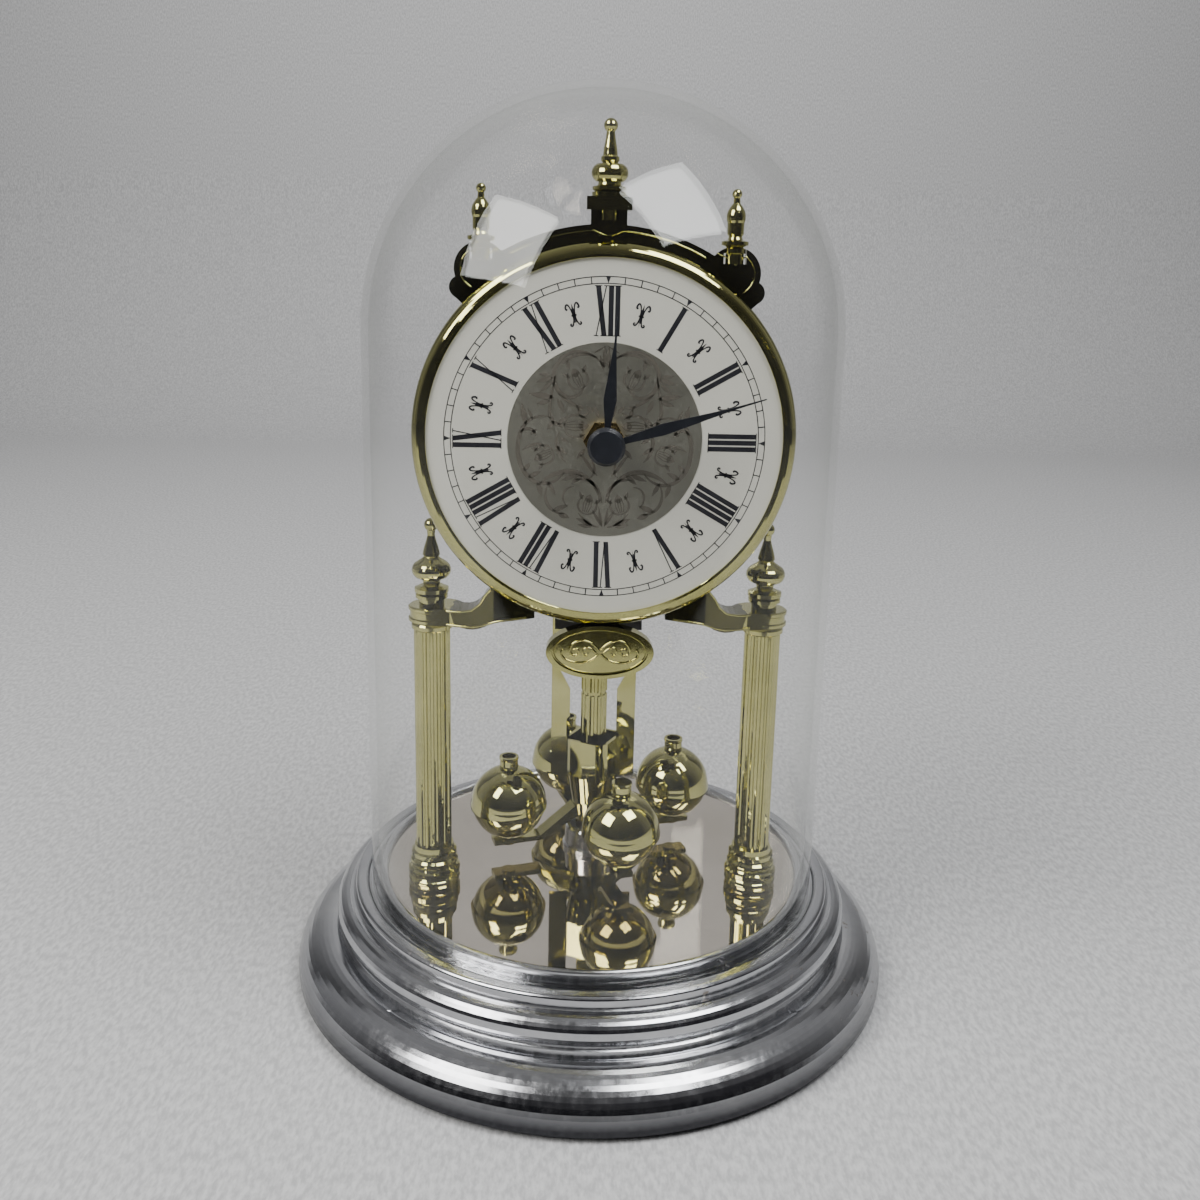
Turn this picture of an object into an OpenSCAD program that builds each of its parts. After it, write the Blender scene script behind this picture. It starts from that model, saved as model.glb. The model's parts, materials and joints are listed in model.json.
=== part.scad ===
// Anniversary clock: a quartz movement on two fluted columns, a four-ball
// torsion-style pendulum above a mirror deck, a stepped base and a glass dome.
// Origin: centre of the base's underside. +Z is up, the dial faces -Y. Millimetres.

/* [Base] */
// Outer radius of the base foot
base_r = 80; // [79.5:0.1:81]
// Height of the mirror deck above the table
deck_z = 26.5; // [26:0.1:27.5]
// Radius of the mirror deck plate
deck_r = 55.7; // [54:0.1:56]
// Wall of the base shell
base_wall = 1.4; // [1:0.1:1.8]

/* [Dome] */
// Outer radius of the glass dome
dome_r = 60; // [59:0.1:60.2]
// Glass thickness
dome_wall = 1.8; // [1.4:0.1:2]
// Overall height, table to top of the dome
total_h = 230.6; // [229.6:0.2:234]

/* [Columns] */
// Distance of each column from the middle plane
column_x = 42.3; // [42:0.1:42.6]
// How far the columns stand in front of the base centre
column_front = 12.3; // [12:0.1:12.6]
// Radius over the flute crests
column_r = 4.6; // [4.2:0.1:4.8]
// Number of flutes round a column
column_flutes = 16; // [12:1:20]
// Underside height of the yoke bracket
yoke_z = 98.6; // [98:0.1:99.4]
// Thickness of the yoke's end discs
yoke_h = 4.2; // [3.8:0.1:4.6]

/* [Dial] */
// Height of the dial centre
dial_z = 147.8; // [147.4:0.1:148.4]
// Distance of the dial face in front of the base centre
dial_front = 31; // [30.6:0.1:31.3]
// Outer radius of the bezel
bezel_r = 44.9; // [44.7:0.1:45]
// Radius of the dial that shows inside the bezel
dial_open_r = 41.3; // [41:0.1:41.4]
// Radius of the silver dial centre
disc_r = 22.5; // [21.5:0.1:23.5]

/* [Pendulum] */
// How far the pendulum hangs behind the base centre
pend_back = 7.5; // [7.2:0.1:7.8]
// Radius from the spindle to each ball's centre
orbit_r = 24.2; // [24.1:0.1:24.4]
// Ball radius
ball_r = 10.5; // [10.2:0.1:10.6]
// Height of the ball centres above the deck
ball_up = 16.2; // [16:0.1:16.6]
// Turn of the pendulum at rest
pendulum_turn = 16.9; // [0:0.1:45]

/* [Time shown] */
// Minutes past twelve
minutes = 12.1; // [0:0.1:59]
// How many degrees the hour hand is set off its true place
hour_slip = -2; // [-3:0.5:3]

/* [Hidden] */
$fn = 72;
dome_in = dome_r - dome_wall;
dome_foot_z = deck_z - 1.8;
dome_mid_z = total_h - dome_r;
felt_h = 1;
plate_t = 1.2;
deck_t = 1.2;
cover_screw_r = 68;
cover_bolt_r = 1.1;
yoke_top = yoke_z + yoke_h;
foot_h = 10.6;
capital_h = 2.2;
rod_r = 1.5;
rod_hole_r = 1.55;
sides = [-1, 1];
side_names = ["left", "right"];

// Stack behind the dial face, each value a Y plane
dial_y = -dial_front;
dial_t = 0.8;
bezel_back = dial_y + 4.7;
crest_t = 2.4;
crest_back = bezel_back + crest_t;
yoke_plate_t = 2.6;
yoke_back = crest_back + yoke_plate_t;
pan_t = 1.2;
pan_r = 42.4;
case_back = yoke_back + 16;
case_w = 58;
case_low = dial_z - case_w / 2;
plate_bore_r = 10;
screw_angles = [30, 150, 210, 330];
screw_circle_r = 37.3;
yoke_bolt_r = 1.3;
dial_bore_r = 3.2;
disc_t = 0.12;
case_wall = 1.4;
battery_r = 7.2;
battery_len = 50.5;
battery_z = dial_z - 20;
battery_y = yoke_back + case_wall + battery_r + 0.4;
slack = 0.3;

// Crest outline
ear_x = 28.9;
ear_z = dial_z + 38.2;
ear_r = 6.1;
ear_slot = 2.6;
crest_r = 48.6;
crest_inner_r = 42.5;
crest_top_z = dial_z + crest_r;
neck_w = 8.2;
neck_z = crest_top_z + 3;
stem_r = 2.1;
stem_sink = 2.2;

// Motion work: 12:36 then 10:40 teeth make the 12 to 1 reduction
mod_a = 0.5;
mod_b = 0.48;
mod_k = 0.5;
pinion_a_n = 12;
wheel_a_n = 36;
pinion_b_n = 10;
wheel_b_n = 40;
knob_n = 18;
mesh_a = mod_a * (pinion_a_n + wheel_a_n) / 2;
mesh_k = mod_k * (wheel_a_n + knob_n) / 2;
wheel_dir = 45;
knob_dir = -20;
wheel_x = mesh_a * cos(wheel_dir);
wheel_z = dial_z + mesh_a * sin(wheel_dir);
knob_x = wheel_x + mesh_k * cos(knob_dir);
knob_z = wheel_z + mesh_k * sin(knob_dir);
hour_gear_y = yoke_back + case_wall + 1;
wheel_gear_y = hour_gear_y + 3;
gear_t = 1.2;
knob_shaft_r = 1.33;
stud_r = 1;
running = 0.06;
arbor_r = 1.1;
hour_tube_r = 1.9;
bush_r = 3.1;
hour_hand_y = dial_y - 7.4;
minute_hand_y = dial_y - 8.8;
hand_t = 0.5;
cap_r = 4.3;

// Pendulum heights
ball_z = deck_z + ball_up;
arm_low_z = ball_z - ball_r - 1.25;
arm_t = 1.4;
ball_top_r = ball_r - 0.2;
ball_low_r = ball_r - 0.5;
nut_up = ball_top_r - 0.16;
ball_bolt_r = 1.1;
spindle_r = 1.2;
hub_low_z = deck_z + 6;
hub_z = deck_z + 14.5;
cup_low_z = deck_z + 22.5;
cup_top_z = deck_z + 33;
tube_r = 3.6;
tube_ring_z = deck_z + 45.7;
hub_r = 5.7;
hub_top_r = 7;
cup_r = 7.5;
cup_half = 6.4;
cup_wall = 0.9;
cup_floor = 1;
tube_top_z = 94.7;
drive_low_z = 97.3;
drive_front_y = -15;
drive_half = 11;
drive_wall = 1.4;
suspension_z = 108;
suspension_t = 1.2;
hanger_z = suspension_z + suspension_t + 0.03;

// Points of an arc, angles in degrees
function arc(c, r, a0, a1, n) =
    [for (i = [0:n]) c + r * [cos(a0 + (a1 - a0) * i / n), sin(a0 + (a1 - a0) * i / n)]];

// Turns a shape drawn in XY to stand in XZ, its thickness running back from plane y
module upright(y, t) {
    translate([0, y + t, 0]) rotate([90, 0, 0]) linear_extrude(t) children();
}

// Round bar along Y from plane y, back by len
module bar_y(x, y, z, r, len) {
    translate([x, y + len, z]) rotate([90, 0, 0]) cylinder(r = r, h = len);
}

// Ring along Y
module ring_y(x, y, z, r_out, r_in, len) {
    difference() {
        bar_y(x, y, z, r_out, len);
        bar_y(x, y - 1, z, r_in, len + 2);
    }
}

// Plain spur gear outline with slim teeth, so that meshing pairs run free
module gear_outline(n, m, phase = 0) {
    root = m * n / 2 - 1.05 * m;
    tip = m * n / 2 + 0.75 * m;
    half_root = 0.62 * m / root * 57.3;
    half_tip = 0.26 * m / tip * 57.3;
    polygon([for (i = [0:n - 1])
        for (p = [[root, -half_root], [tip, -half_tip], [tip, half_tip], [root, half_root]])
            p[0] * [cos(phase + i * 360 / n + p[1]), sin(phase + i * 360 / n + p[1])]]);
}

// ---- base ----

module each_cover_screw() {
    for (a = [45:90:315]) rotate(a) translate([cover_screw_r, 0, 0]) children();
}

module base_shell() {
    torus_r = 10;
    torus_x = base_r - torus_r;
    torus_z = 3;
    step_x = 65.6;
    step_z = deck_z - 8;
    profile = concat(
        [[deck_r + 0.1, deck_z - deck_t], [deck_r + 0.1, deck_z + 0.1]],
        arc([deck_r + 1.2, deck_z + 0.4], 1, 175, 0, 8),
        [[dome_in - slack, dome_foot_z], [dome_r + slack, dome_foot_z]],
        arc([dome_r + 2, deck_z - 2.1], 1.2, 160, 80, 4),
        arc([dome_r + 3.4, deck_z - 2.1], 1.1, 88, 0, 5),
        [[64.6, deck_z - 3.7], [65.1, deck_z - 3.9], [65.9, deck_z - 3.9]],
        arc([step_x, step_z], 3.8, 82, -45, 10),
        [[68.3, deck_z - 11.1], [68.9, deck_z - 11.5], [69.1, deck_z - 13.5], [69.3, deck_z - 13.9]],
        arc([torus_x, torus_z], torus_r, 92, -6, 14),
        [[base_r - 1.1, 1.6], [base_r - 1.1, 0.8], [base_r - 2.6, 0.8], [base_r - 2.6, 3]],
        arc([torus_x, torus_z], torus_r - base_wall - 0.6, 0, 84, 8),
        [[67.6, deck_z - 14.6], [67, deck_z - 11.6]],
        arc([step_x, step_z], 2.2, -30, 78, 5),
        [[63.4, deck_z - 5.4], [62.6, deck_z - 3.6], [56.8, deck_z - 3.6]],
        [[52.5, deck_z - 2.6], [52.5, deck_z - deck_t]]);
    color("silver") difference() {
        union() {
            rotate_extrude() polygon(profile);
            each_cover_screw() translate([0, 0, felt_h + plate_t]) cylinder(r = 3, h = 11);
        }
        each_cover_screw() cylinder(r = cover_bolt_r, h = 6);
    }
}

module base_bottom_plate() {
    color("dimgray") difference() {
        translate([0, 0, felt_h]) cylinder(r = base_r - 2.75, h = plate_t);
        each_cover_screw() cylinder(r = cover_bolt_r, h = 4);
    }
}

module base_felt() {
    color("darkgreen") difference() {
        cylinder(r = base_r - 4, h = felt_h);
        translate([0, 0, -1]) cylinder(r = 10, h = 4);
        each_cover_screw() translate([0, 0, -1]) cylinder(r = 3.2, h = 4);
    }
}

module cover_screws() {
    color("gray") each_cover_screw() translate([0, 0, 0.2]) difference() {
        union() {
            cylinder(r = 2.4, h = 0.8);
            cylinder(r = cover_bolt_r, h = 5.6);
        }
        translate([-3, -0.25, -1]) cube([6, 0.5, 1.4]);
    }
}

module deck_plate() {
    color("tan") difference() {
        translate([0, 0, deck_z - deck_t]) cylinder(r = deck_r, h = deck_t);
        for (s = sides) translate([s * column_x, -column_front, deck_z - 2]) cylinder(r = 1.7, h = 4);
        translate([0, pend_back, deck_z - 2]) cylinder(r = 2, h = 4);
    }
}

module pendulum_guide_cup() {
    color("gainsboro") translate([0, pend_back, deck_z]) rotate_extrude() polygon([
        [0, -deck_t], [2, -deck_t], [2, 0], [8.1, 0], [8.1, 1.2], [7.6, 1.6], [7.3, 6.2], [6.9, 6.8],
        [6.2, 6.8], [6, 2], [0, 2]]);
}

// ---- columns ----

module at_column(s) {
    translate([s * column_x, -column_front, 0]) children();
}

// Bar with n flat-bottomed flutes between narrow lands
module fluted(r, h, n) {
    lands = [[0, 1], [0.34, 1], [0.46, 0.92], [0.67, 0.89], [0.88, 0.92]];
    linear_extrude(h) polygon([for (i = [0:n - 1]) for (k = lands)
        r * k[1] * [cos((i + k[0]) * 360 / n), sin((i + k[0]) * 360 / n)]]);
}

// Fluted tube with the ring that carries the yoke
module column(s) {
    low = deck_z + foot_h;
    top = yoke_z - capital_h;
    color("palegoldenrod") at_column(s) difference() {
        union() {
            translate([0, 0, low]) fluted(column_r, top - low, column_flutes);
            translate([0, 0, top]) rotate_extrude() polygon([[0, 0], [4.7, 0], [5.2, 0.4], [5.2, 1.4],
                [4.8, capital_h], [0, capital_h]]);
        }
        translate([0, 0, low - 1]) cylinder(r = column_r * 0.72, h = yoke_z - low + 2);
    }
}

module column_foot(s) {
    color("palegoldenrod") at_column(s) translate([0, 0, deck_z]) rotate_extrude() polygon(concat(
        [[1.8, 0], [6.4, 0]], arc([6, 1.3], 0.8, -45, 60, 4),
        [[6, 2.6], [6.8, 2.9], [6.8, 4.1], [6.2, 4.5], [5.9, 5]], arc([5.4, 6.1], 0.9, -45, 60, 4),
        [[5.3, 7.4], [5.9, 7.8], [5.9, 8.9], [5.3, 9.3], [5.1, foot_h], [1.8, foot_h]]));
}

module column_rods() {
    color("gray") for (s = sides) at_column(s)
        translate([0, 0, deck_z - 6]) cylinder(r = rod_r, h = yoke_top + 5 - deck_z + 6);
}

module column_nuts() {
    color("gray") for (s = sides) at_column(s) difference() {
        translate([0, 0, deck_z - 3.8]) cylinder(r = 3.2, h = 2.6, $fn = 6);
        translate([0, 0, deck_z - 5]) cylinder(r = rod_r, h = 6);
    }
}

// Turned finial over a column, bored at its foot for the end of the rod
module column_finial(s) {
    color("palegoldenrod") at_column(s) difference() {
        translate([0, 0, yoke_top]) rotate_extrude() polygon(concat(
            [[0, 0], [3.2, 0], [3.2, 1.6], [4.1, 1.9], [4.1, 2.7], [3.4, 3], [4.3, 3.4], [4.3, 4.4],
                [3.1, 4.9]],
            arc([2.6, 5.5], 0.6, -60, -150, 3),
            [[2.4, 6.4], [3.6, 7]], arc([2.6, 9], 2.35, -50, 62, 7),
            [[2.4, 11.9], [1.9, 12.4], [2.2, 13], [2.1, 13.6]],
            [[1.75, 15], [1.3, 16.4], [0.95, 17.8], [1.05, 18.8]],
            arc([0, 20.5], 1.75, -52, 90, 8)));
        translate([0, 0, yoke_top - 1]) cylinder(r = rod_r, h = 6);
    }
}

// ---- head ----

module each_yoke_screw() {
    for (a = screw_angles)
        translate([screw_circle_r * cos(a), 0, dial_z + screw_circle_r * sin(a)]) children();
}

// One arm of the yoke seen from the front, drawn for the right side
module arm_front() {
    polygon(concat(
        [[column_x, yoke_z], [36, yoke_z]],
        arc([33, yoke_z + 8.5], 8.5, -80, -125, 4),
        arc([23.5, yoke_z - 4.5], 7.6, 48, 90, 4),
        [[16, yoke_z + 4.2], [16, yoke_z + 14]],
        [[26, yoke_z + 12]],
        arc([35.5, yoke_z + 11.4], 7.6, 200, 262, 5),
        [[38, yoke_top], [column_x, yoke_top]]));
}

// The same arm seen from above: the disc runs into the plate behind the bezel
module arm_above() {
    polygon([[column_x, -column_front + 5.8], [column_x - 6, -column_front + 4.6], [25, yoke_back + 3],
        [12, yoke_back], [12, crest_back], [26, crest_back], [column_x - 5, -column_front - 5.6],
        [column_x, -column_front - 5.8]]);
}

module yoke_end() {
    translate([column_x, -column_front, yoke_z]) rotate_extrude() polygon([
        [rod_hole_r, 0], [5.4, 0], [5.9, 0.3], [5.9, 1], [5.5, 1.3], [5.5, 2.9], [5.9, 3.2],
        [5.9, 3.9],
        [5.4, yoke_h], [rod_hole_r, yoke_h]]);
}

module yoke_bracket() {
    color("palegoldenrod") difference() {
        union() {
            bar_y(0, crest_back, dial_z, bezel_r - 0.6, yoke_plate_t);
            for (s = [0, 1]) mirror([s, 0, 0]) {
                intersection() {
                    upright(-60, 80) arm_front();
                    translate([0, 0, yoke_z - 5]) linear_extrude(30) arm_above();
                }
                yoke_end();
            }
        }
        bar_y(0, crest_back - 1, dial_z, plate_bore_r, yoke_plate_t + 2);
        each_yoke_screw() bar_y(0, crest_back - 1, 0, yoke_bolt_r, yoke_plate_t + 2);
        for (s = sides) at_column(s) translate([0, 0, yoke_z - 1]) cylinder(r = rod_hole_r, h = 8);
    }
}

module crest_plate() {
    color("palegoldenrod") difference() {
        upright(bezel_back, crest_t) difference() {
            union() {
                intersection() {
                    translate([0, dial_z]) circle(r = crest_r);
                    polygon([[0, dial_z], [-70, dial_z + 64], [-70, dial_z + 90], [70, dial_z + 90],
                        [70, dial_z + 64]]);
                }
                for (s = sides) translate([s * ear_x, ear_z]) circle(r = ear_r);
                for (s = sides) translate([s * (ear_x + 4.6), ear_z - 4.2]) circle(r = 2.6);
                translate([-neck_w / 2, crest_top_z - 4]) square([neck_w, neck_z - crest_top_z + 4]);
            }
            for (s = sides) translate([s * ear_x - ear_slot, ear_z + stem_sink]) square([2 * ear_slot, 9]);
            translate([-stem_r, neck_z - stem_sink]) square([2 * stem_r, 4]);
        }
        bar_y(0, bezel_back - 1, dial_z, crest_inner_r, crest_t + 2);
    }
}

// Small urn finial on a crest ear; its stem fills the slot in the ear
module ear_finial(s) {
    color("palegoldenrod") translate([s * ear_x, bezel_back + crest_t / 2, ear_z + stem_sink])
        rotate_extrude() polygon(concat(
            [[0, 0], [stem_r, 0], [stem_r, 2.2], [2.5, 2.4], [2.5, 3.4], [1.9, 3.7], [3.1, 4.2], [3.1, 5],
                [1.8, 5.4], [1.5, 6], [1.9, 6.6]],
            arc([-1.4, 10.4], 3.6, -22, 24, 5),
            [[1.3, 12.8], [0.8, 13.4], [0.75, 14.2]],
            arc([0, 15.4], 1.15, -50, 90, 6)));
}

module centre_finial() {
    color("palegoldenrod") translate([0, bezel_back + crest_t / 2, 0]) {
        translate([0, 0, neck_z - stem_sink]) cylinder(r = stem_r, h = 3);
        translate([-5.1, -3.2, neck_z]) cube([10.2, 6.4, 2.9]);
        translate([0, 0, neck_z + 2.9]) rotate_extrude() polygon(concat(
            [[0, 0], [3.9, 0], [4, 1], [3.3, 1.2], [3.9, 1.5], [3.9, 2.2], [2.7, 2.6], [2.6, 3.2]],
            arc([2, 5.2], 2.2, -60, 60, 6),
            [[1.7, 7.4], [2.1, 7.8], [2.1, 8.6], [1.7, 9], [1.5, 10.6], [1.15, 12.4], [0.95, 14]],
            arc([0, 15.4], 1.6, -52, 90, 7)));
    }
}

module bezel() {
    color("palegoldenrod") translate([0, bezel_back, dial_z]) rotate([90, 0, 0]) rotate_extrude() polygon(
        concat([[pan_r, 0], [bezel_r - 0.5, 0], [bezel_r, 0.5]],
            arc([bezel_r - 3.4, 1.8], 3.4, 0, 92, 10),
            [[dial_open_r, 5.1], [dial_open_r, 4.7], [pan_r, 4.7]]));
}

module dial_plate() {
    color("ivory") ring_y(0, dial_y, dial_z, pan_r - 0.05, dial_bore_r, dial_t);
}

// Shallow dish that presses the dial against the bezel
module dial_pan() {
    depth = crest_back - dial_y - dial_t;
    color("dimgray") difference() {
        translate([0, crest_back, dial_z]) rotate([90, 0, 0]) rotate_extrude() polygon([
            [plate_bore_r, 0], [pan_r, 0], [pan_r, depth], [pan_r - pan_t, depth], [pan_r - pan_t, pan_t],
            [plate_bore_r, pan_t]]);
        each_yoke_screw() bar_y(0, crest_back - pan_t - 1, 0, yoke_bolt_r, pan_t + 2);
    }
}

module dial_centre() {
    color("silver") ring_y(0, dial_y - disc_t, dial_z, disc_r, dial_bore_r, disc_t);
}

module plaque() {
    centre_z = dial_z - bezel_r - 6.8;
    wide = 1.95;
    color("palegoldenrod") {
        translate([0, 0, centre_z]) {
            upright(bezel_back - 3, 3) scale([wide, 1]) circle(r = 6.7);
            upright(bezel_back - 3.7, 0.7) difference() {
                scale([wide, 1]) circle(r = 6.7);
                scale([wide + 0.05, 1]) circle(r = 5.8);
            }
        }
        translate([-4, bezel_back, centre_z + 2]) cube([8, crest_t, dial_z - pan_r - 0.2 - centre_z - 2]);
    }
}

module yoke_screws() {
    color("gray") each_yoke_screw() difference() {
        union() {
            bar_y(0, yoke_back, 0, 2.4, 1.4);
            bar_y(0, crest_back - pan_t - 0.6, 0, yoke_bolt_r, yoke_plate_t + pan_t + 1);
        }
        translate([-3, yoke_back + 0.8, -0.3]) cube([6, 2, 0.6]);
    }
}

// Two flat prongs behind the pendulum that keep its tube from swinging out
module guard_fork() {
    plate_y = pend_back + 5.4;
    plate = 1.2;
    color("palegoldenrod") for (s = [0, 1]) mirror([s, 0, 0]) {
        upright(plate_y, plate) polygon([[6.6, 45.2], [11.8, 45.2], [11.8, drive_low_z], [9.4, drive_low_z],
            [9.4, 76.4], [6.6, 71]]);
        translate([9.4, plate_y + plate, drive_low_z - 1.4]) cube([2.4, 2.6, 1.4]);
    }
}

// ---- movement ----

module movement_case() {
    inner_w = case_w - 2 * case_wall;
    color("dimgray") {
        difference() {
            translate([-case_w / 2, yoke_back, case_low]) cube([case_w, case_back - yoke_back, case_w]);
            translate([-inner_w / 2, yoke_back + case_wall, case_low + case_wall])
                cube([inner_w, 40, inner_w]);
            bar_y(0, yoke_back - 1, dial_z, bush_r, 6);
        }
        translate([-inner_w / 2, yoke_back + case_wall, battery_z + 8]) cube([inner_w, 13, 1]);
    }
}

module movement_cover() {
    low = battery_z + 9;
    color("black") difference() {
        translate([-case_w / 2 + case_wall, case_back - 1.6, low])
            cube([case_w - 2 * case_wall, 1.6, dial_z + case_w / 2 - case_wall - low]);
        bar_y(knob_x, case_back - 3, knob_z, knob_shaft_r + running, 5);
        bar_y(0, case_back - 3, dial_z, arbor_r + running, 5);
    }
}

module cover_clips() {
    color("gray") for (x = [-18, 18])
        translate([x - 3, case_back, dial_z + 18]) cube([6, 0.8, 11]);
}

module centre_bush() {
    color("khaki") difference() {
        union() {
            bar_y(0, dial_y - 2.6, dial_z, bush_r, yoke_back + case_wall + 0.6 - dial_y + 2.6);
            bar_y(0, yoke_back + case_wall, dial_z, bush_r + 2, 0.6);
        }
        bar_y(0, dial_y - 4, dial_z, hour_tube_r + running, 40);
    }
}

module bush_nut() {
    color("khaki") difference() {
        translate([0, dial_y - disc_t, dial_z]) rotate([90, 0, 0]) cylinder(r = 5, h = 1.6, $fn = 6);
        bar_y(0, dial_y - 4, dial_z, bush_r, 8);
    }
}

module circuit_board() {
    color("darkgreen") translate([-26, yoke_back + case_wall + 8.6, dial_z - 9]) cube([16, 1, 34]);
}

module crystal_can() {
    color("silver") translate([-18, yoke_back + case_wall + 11.1, dial_z + 14]) cylinder(r = 1.5, h = 8);
}

module motor_coil() {
    color("sienna") translate([-22, yoke_back + case_wall + 4.4, dial_z - 8]) difference() {
        cylinder(r = 3.4, h = 20);
        translate([0, 0, -1]) cylinder(r = 1, h = 22);
    }
}

module motor_stator() {
    color("silver") {
        translate([-22, yoke_back + case_wall + 4.4, dial_z - 10]) cylinder(r = 1, h = 24);
        for (z = [-11, 14]) translate([-25, yoke_back + case_wall + 3.4, dial_z + z]) cube([11, 2, 1]);
    }
}

module battery_contacts() {
    inner = case_w / 2 - case_wall;
    color("silver") for (s = [0, 1]) mirror([s, 0, 0]) translate([0, battery_y, battery_z]) {
        translate([inner - 0.5, -5, -4]) cube([0.5, 10, 8]);
        rotate([0, 90, 0]) translate([0, 0, battery_len / 2 + 0.1])
            cylinder(r = 2.4, h = inner - battery_len / 2 - 0.2);
    }
}

module minute_wheel_stud() {
    color("silver") bar_y(wheel_x, yoke_back + case_wall, wheel_z, stud_r, 9);
}

// Room round the pendulum's head, inside the drive housing
module drive_room(z, h) {
    half = 9.6;
    deep = 8.6;
    translate([-half, pend_back - deep, z]) cube([2 * half, 2 * deep, h]);
}

module drive_housing() {
    long = pend_back + 9.7 - drive_front_y;
    high = case_low - drive_low_z;
    color("dimgray") difference() {
        translate([-drive_half, drive_front_y, drive_low_z]) cube([2 * drive_half, long, high]);
        drive_room(drive_low_z + drive_wall, high - 2 * drive_wall);
        translate([0, pend_back, drive_low_z - 1]) cylinder(r = 1.6, h = 4);
    }
}

// Plate that the pendulum hangs from
module suspension_plate() {
    color("silver") difference() {
        drive_room(suspension_z, suspension_t);
        translate([0, pend_back, suspension_z - 1]) cylinder(r = spindle_r + running, h = 4);
    }
}

module drive_coil() {
    color("sienna") translate([0, pend_back, drive_low_z + drive_wall]) difference() {
        cylinder(r = 7.6, h = 4);
        translate([0, 0, -1]) cylinder(r = 2.6, h = 6);
    }
}

// ---- pendulum ----

module turned() {
    translate([0, pend_back, 0]) rotate(pendulum_turn) children();
}

module each_ball() {
    for (k = [0:3]) turned() rotate(90 * k) translate([orbit_r, 0, 0]) children();
}

module pendulum_hanger() {
    color("silver") turned() {
        translate([0, 0, tube_top_z]) cylinder(r = spindle_r, h = hanger_z - tube_top_z);
        translate([0, 0, hanger_z]) cylinder(r = 2.4, h = 1.2);
    }
}

module pendulum_magnet() {
    color("darkgray") turned() difference() {
        translate([0, 0, drive_low_z + 7]) cylinder(r = 7, h = 3);
        translate([0, 0, drive_low_z + 6]) cylinder(r = spindle_r, h = 5);
    }
}

module pendulum_tube() {
    low = cup_low_z + cup_floor;
    ring = 0.9;
    color("palegoldenrod") turned() {
        translate([0, 0, low]) fluted(tube_r, tube_ring_z - low, 12);
        translate([0, 0, tube_ring_z]) cylinder(r = tube_r - 0.35, h = ring);
        translate([0, 0, tube_ring_z + ring]) fluted(tube_r, tube_top_z - tube_ring_z - ring, 12);
    }
}

// Square cup round the foot of the tube, open at the corners over the arms
module pendulum_cup() {
    color("palegoldenrod") turned() translate([0, 0, cup_low_z]) intersection() {
        cylinder(r = cup_r, h = cup_top_z - cup_low_z);
        rotate(45) difference() {
            translate([-cup_half, -cup_half, 0]) cube([2 * cup_half, 2 * cup_half, 20]);
            translate([-cup_half, -cup_half, 0] + cup_wall * [1, 1, 0] + [0, 0, cup_floor])
                cube([2 * (cup_half - cup_wall), 2 * (cup_half - cup_wall), 20]);
        }
    }
}

// Ribbed cone under the cup, with the pin that turns in the guide cup
module pendulum_spindle() {
    ribs = 16;
    color("palegoldenrod") turned() {
        translate([0, 0, hub_z]) cylinder(r1 = hub_r - 0.7, r2 = hub_top_r - 0.7, h = cup_low_z - hub_z);
        for (k = [0:ribs - 1]) rotate(k * 360 / ribs) translate([0, 0.6, 0]) rotate([90, 0, 0])
            linear_extrude(1.2) polygon([[2, hub_z], [hub_r, hub_z], [hub_top_r, cup_low_z],
                [2, cup_low_z]]);
        translate([0, 0, deck_z + 3]) cylinder(r = spindle_r, h = hub_z - deck_z - 3);
    }
}

// Four flat arms: out from the cone's foot, down and level under the balls
module pendulum_arms() {
    run = 15;
    half_w = 2.2;
    tip = orbit_r + 4.4;
    side = [[2, hub_z - 4], [4.4, hub_z - 4], [run, arm_low_z], [tip, arm_low_z],
        [tip, arm_low_z + arm_t], [run + 0.6, arm_low_z + arm_t], [hub_r, hub_z - 1.2], [2, hub_z - 1.2]];
    color("palegoldenrod") difference() {
        turned() {
            for (k = [0:3]) rotate(90 * k)
                translate([0, half_w, 0]) rotate([90, 0, 0]) linear_extrude(2 * half_w) polygon(side);
            translate([0, 0, hub_low_z]) cylinder(r1 = 4.4, r2 = hub_r, h = hub_z - hub_low_z);
        }
        turned() translate([0, 0, deck_z]) cylinder(r = spindle_r, h = 40);
        each_ball() translate([0, 0, deck_z]) cylinder(r = ball_bolt_r, h = 10);
    }
}

module ball_tops() {
    color("palegoldenrod") each_ball() translate([0, 0, ball_z]) rotate_extrude() polygon(concat(
        [[1.6, 0], [ball_r - 0.7, 0], [ball_r - 0.7, -1.2], [ball_r, -1.2], [ball_r, 0]],
        arc([0, 0], ball_top_r, 4, 79, 12), [[1.6, ball_top_r - 0.2]]));
}

module ball_bottoms() {
    rim = ball_r - 0.7;
    color("palegoldenrod") each_ball() translate([0, 0, ball_z]) rotate_extrude() polygon(concat(
        [[1.6, 0], [1.6, 0.15 - ball_low_r]], arc([0, 0], ball_low_r, -79, -20, 9),
        [[rim, -2.4], [rim, 0]]));
}

module ball_nuts() {
    color("palegoldenrod") each_ball() translate([0, 0, ball_z + nut_up]) rotate_extrude() polygon([
        [0, 0], [2.5, 0], [2.7, 0.4], [2.5, 0.8], [2.5, 2.3], [2.7, 2.7], [2.6, 3.3], [1.9, 3.3],
        [1.9, 1], [0, 1]]);
}

module ball_screws() {
    foot = arm_low_z + arm_t;
    color("palegoldenrod") each_ball() {
        translate([0, 0, arm_low_z - 0.5]) cylinder(r = 1.9, h = 0.5);
        translate([0, 0, arm_low_z]) cylinder(r = ball_bolt_r, h = ball_z + nut_up - arm_low_z);
        translate([0, 0, foot]) difference() {
            cylinder(r = 2.7, h = 0.4);
            translate([0, 0, -1]) cylinder(r = ball_bolt_r, h = 3);
        }
    }
}

// ---- hands and motion work ----

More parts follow.
